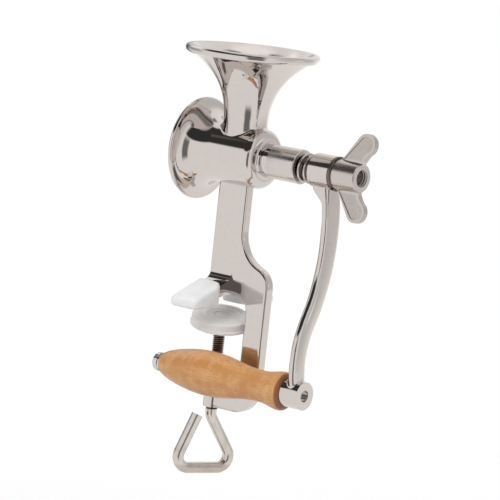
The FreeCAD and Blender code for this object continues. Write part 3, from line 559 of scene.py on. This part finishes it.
def makeRimBead(sizes):
    bead = startRing("rimBead", sizes["around"], sizes["round"], (sizes["reach"] - sizes["round"], 0, 0),
                     turn=(math.pi / 2, 0, 0))
    bead.location = (sizes["hopperX"], 0, sizes["top"] - sizes["round"])
    sweep(bead, "Z", fullTurn, sizes["steps"], merge=mergeLimit)
    closePiece(sizes["smooth"])
    finishPiece(bead, "frame", "polished_cast")


makeRimBead(beadSizes)


# flare that carries the barrel out into the bell's rim
flareSizes = {"start": -10.0 * mm, "end": -26.1 * mm, "barrel": 17.505 * mm, "rim": 28.8 * mm, "points": 20,
              "around": 160, "smooth": 50,
              "inside": ((-26.6, 28.8), (-26.6, 21.5), (-24.0, 18.6), (-10.0, 17.2))}   # mm, back through the wall


def makeBellFlare(sizes):
    profile = []
    for n in range(sizes["points"] + 1):   # a quarter of an ellipse, along the barrel first and then up the rim
        turn = math.pi / 2 * n / sizes["points"]
        along = sizes["start"] + (sizes["end"] - sizes["start"]) * math.sin(turn)
        radius = sizes["rim"] - (sizes["rim"] - sizes["barrel"]) * math.cos(turn)
        profile.append(Vector((along, 0, radius)))
    profile += [Vector((along * mm, 0, radius * mm)) for along, radius in sizes["inside"]]
    flare = makeWound("bellFlare", profile + profile[:1], "X", 0, 1, sizes["around"])
    flare.location = (0, 0, shaftHeight)
    closePiece(sizes["smooth"])
    finishPiece(flare, "frame", "polished_cast")


makeBellFlare(flareSizes)


# jaw caps: the moulded edges are rounder than the solids'
capSizes = {"voxel": 0.5 * mm, "rounds": 48, "share": 0.5, "smooth": 60,
            "caps": {"capFormFront": "jaw_cap_front", "capFormBack": "jaw_cap_back"}}


def makeSoftCap(name, node, sizes):
    clearSelection()
    cap = bpy.data.objects.new(name, frame["nodes"][node].data.copy())
    bpy.context.scene.collection.objects.link(cap)
    cap.select_set(True)
    bpy.context.view_layer.objects.active = cap
    mergePoints(mergeLimit)
    bpy.ops.object.mode_set(mode="OBJECT")
    even = cap.modifiers.new("even", "REMESH")
    even.mode = "VOXEL"
    even.voxel_size = sizes["voxel"]
    bpy.ops.object.modifier_apply(modifier=even.name)
    soft = cap.modifiers.new("soft", "SMOOTH")
    soft.factor = sizes["share"]
    soft.iterations = sizes["rounds"]
    bpy.ops.object.modifier_apply(modifier=soft.name)
    closePiece(sizes["smooth"])
    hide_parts(node)
    finishPiece(cap, "frame", "white_plastic")


for capName, capNode in capSizes["caps"].items():
    makeSoftCap(capName, capNode, capSizes)


# thread inside the wing nut
nutThreadSizes = {"wall": 5.05 * mm, "crest": 4.35 * mm, "pitch": 1.5 * mm, "start": 86.0 * mm, "turns": 2,
                  "around": 48, "smooth": 30,
                  "shape": ((0.06, "wall"), (0.42, "crest"),   # share of the pitch, radius
                            (0.58, "crest"), (0.94, "wall"))}


def makeNutThread(sizes):
    pitch = sizes["pitch"]
    profile = [Vector((sizes["start"] + share * pitch, 0, sizes[radius])) for share, radius in sizes["shape"]]
    thread = makeWound("nutThread", profile + profile[:1], "X", pitch, sizes["turns"], sizes["around"])
    fillOpenEnds()
    thread.location = (0, 0, shaftHeight)
    closePiece(sizes["smooth"])
    finishPiece(thread, "wing_nut", "nut_cast")


makeNutThread(nutThreadSizes)
print("stage 4: wound, threaded and moulded pieces modelled")


# camera, fitted to the photograph
cameraFit = {"azimuth": 37.73, "elevation": 7.86, "roll": 6.10, "focal": 3697.4, "across": -6.81, "up": 55.57,
             "distance": 2154.3, "pixels": 500, "sensor": 36, "near": 0.05, "far": 60}


def wayTo(turn, rise):   # from the front of the frame plate, round towards the crank and up
    return Vector((math.sin(turn) * math.cos(rise), -math.cos(turn) * math.cos(rise), math.sin(rise)))


def makeCamera(fit):
    turn, rise, roll = (math.radians(fit[name]) for name in ("azimuth", "elevation", "roll"))
    right = Vector((math.cos(turn), math.sin(turn), 0))
    back = wayTo(turn, rise)
    up = back.cross(right)
    rolledRight = math.cos(roll) * right + math.sin(roll) * up
    rolledUp = -math.sin(roll) * right + math.cos(roll) * up
    place = (-fit["across"] * rolledRight - fit["up"] * rolledUp + fit["distance"] * back) * mm
    place.z += shaftHeight
    data = bpy.data.cameras.new("photoCamera")
    data.sensor_width = fit["sensor"]
    data.lens = fit["focal"] / fit["pixels"] * data.sensor_width
    data.clip_start = fit["near"]
    data.clip_end = fit["far"]
    camera = bpy.data.objects.new("photoCamera", data)
    camera.matrix_world = Matrix((
        (rolledRight.x, rolledUp.x, back.x, place.x),
        (rolledRight.y, rolledUp.y, back.y, place.y),
        (rolledRight.z, rolledUp.z, back.z, place.z),
        (0, 0, 0, 1)))
    bpy.context.scene.collection.objects.link(camera)
    bpy.context.scene.camera = camera


makeCamera(cameraFit)


# studio: pale floor, soft tent, lamps
studioSizes = {"floorHeight": -0.36, "floorSize": 24.0, "paper": (0.84, 0.84, 0.84), "paperShade": (0.80, 0.80, 0.80),
               "paperGlow": 0.60, "paperDip": 0.49, "tentRadius": 1.3, "tentCentre": (0.02, 0, 0.06),
               "tentSegments": 64, "tentRings": 32, "tentLevel": 0.94, "tentTint": (1.0, 0.99, 0.975),
               "lampAim": (0.02, 0, 0.03), "roomLevel": 0.5, "white": (1, 1, 1)}


def seenRay(finish):   # 1 where the camera, a mirror or glass looks
    outputs = finish.node("LightPath").socket.node.outputs
    rays = ("Is Camera Ray", "Is Glossy Ray", "Is Transmission Ray")
    camera, mirror, glass = (Value(finish, outputs[ray]) for ray in rays)
    return finish.maths("MINIMUM", camera + mirror + glass, 1.0)


def makeFloor(sizes):
    clearSelection()
    bpy.ops.mesh.primitive_plane_add(size=sizes["floorSize"], location=(0, 0, sizes["floorHeight"]))
    floor = startPiece("studioFloor")
    material, finish = newFinish("paleFloor")
    spot = finish.place()
    cloud = finish.noise(spot, scale=3)
    paper = finish.node("BsdfDiffuse", None, {"Color": finish.blend(cloud, sizes["paper"], sizes["paperShade"])})
    x, y = finish.axes(spot)[:2]
    close = 1 / (x * x + y * y + 1)   # the lamps light the paper most below the mill, so it glows least there
    level = (sizes["paperGlow"] - sizes["paperDip"] * close) * seenRay(finish)
    glow = finish.node("Emission", None, {"Color": sizes["white"], "Strength": level})
    finish.node("OutputMaterial", None, {"Surface": finish.node("AddShader", None, {0: paper, 1: glow})})
    floor.data.materials.append(material)
    floor.visible_glossy = False   # mirrors see the tent all round


tentPatches = {   # azimuth from the front of the plate, half width, soft edge, rise, half height, soft edge, level
    "rightWall": (125, 42, 14, 35, 41, 7, 0.67),
    "rightLamp": (124, 10, 4, 9, 4, 2, 1.25),
    "backGlow": (-155, 32, 12, -8, 8, 8, 1.2),
    "leftHorizon": (-100, 40, 10, 6, 11, 5, 0.36),
    "leftSeam": (-116, 8, 4, 0, 24, 10, 0.15),
    "leftGlow": (-108, 10, 6, 38, 8, 5, 1.25),
    "topLamp": (-138, 42, 14, 76, 13, 6, 1.15),
    "ceilingLeft": (-78, 24, 7, 56, 12, 4, 0.04),
    "ceilingFront": (0, 64, 10, 46, 20, 3, 0.04),
    "highLeft": (-38, 55, 10, 71, 6, 4, 0.36),
    "highRight": (88, 62, 10, 70, 7, 5, 0.82),
    "zenith": (0, 100, 20, 87, 10, 4, 0.3),
    "camera": (43, 15, 5, -2, 24, 8, 0.19),
    "rearSeam": (172, 8, 4, 62, 18, 6, 0.22),
    "rearSpot": (-146, 9, 5, 52, 8, 4, 0.25),
}


def makeTent(sizes):   # only mirrors see it: bright cloth with the dark room behind its openings
    clearSelection()
    bpy.ops.mesh.primitive_uv_sphere_add(segments=sizes["tentSegments"], ring_count=sizes["tentRings"],
                                         radius=sizes["tentRadius"], location=sizes["tentCentre"])
    tent = startPiece("studioTent")
    material, finish = newFinish("tentCloth")
    x, y, z = finish.axes(finish.node("VectorMath", {"operation": "NORMALIZE"}, {0: finish.place()}))
    rise = finish.maths("ARCSINE", z) * (180 / math.pi)
    turn = finish.maths("ARCTAN2", x, y * -1) * (180 / math.pi)   # 0 in front of the plate, 90 beyond the crank
    level = sizes["tentLevel"]
    for azimuth, halfWidth, sideSoft, elevation, halfHeight, endSoft, patch in tentPatches.values():
        aside = abs(finish.maths("WRAP", turn - azimuth, 180, -180))
        over = abs(rise - elevation)
        inside = 1 - finish.ramp(aside, halfWidth - sideSoft, halfWidth + sideSoft)
        inside = inside * (1 - finish.ramp(over, halfHeight - endSoft, halfHeight + endSoft))
        level = level + inside * (patch - level)
    glow = finish.node("Emission", None, {"Color": sizes["tentTint"], "Strength": level})
    finish.node("OutputMaterial", None, {"Surface": glow})
    tent.data.materials.append(material)
    for ray in ("camera", "diffuse", "transmission", "volume_scatter", "shadow"):
        setattr(tent, "visible_" + ray, False)


def makeLamp(name, azimuth, elevation, distance, size, power):
    data = bpy.data.lights.new(name, "AREA")
    data.shape = "DISK"
    data.size = size
    data.energy = power
    lamp = bpy.data.objects.new(name, data)
    way = wayTo(math.radians(azimuth), math.radians(elevation))
    lamp.location = way * distance + Vector(studioSizes["lampAim"])
    lamp.rotation_euler = way.to_track_quat("Z", "Y").to_euler()
    lamp.visible_glossy = False   # the tent gives the reflections
    bpy.context.scene.collection.objects.link(lamp)


def makeWorld(sizes):
    world = bpy.data.worlds.new("studioWorld")
    world.use_nodes = True
    bpy.context.scene.world = world
    finish = Finish(world.node_tree)
    level = sizes["roomLevel"] + (1 - sizes["roomLevel"]) * seenRay(finish)   # white to look at, dimmer as a light
    back = finish.node("Background", None, {"Color": sizes["white"], "Strength": level})
    finish.node("OutputWorld", None, {"Surface": back})


makeFloor(studioSizes)
makeTent(studioSizes)
makeLamp("keyLamp", azimuth=-5, elevation=42, distance=2.2, size=1.4, power=17)
makeLamp("topLamp", azimuth=60, elevation=80, distance=2.0, size=1.6, power=12)
makeLamp("fillLamp", azimuth=85, elevation=25, distance=2.4, size=1.4, power=7)
makeWorld(studioSizes)
bpy.context.scene.view_settings.view_transform = "Standard"
print("stage 5: studio set")
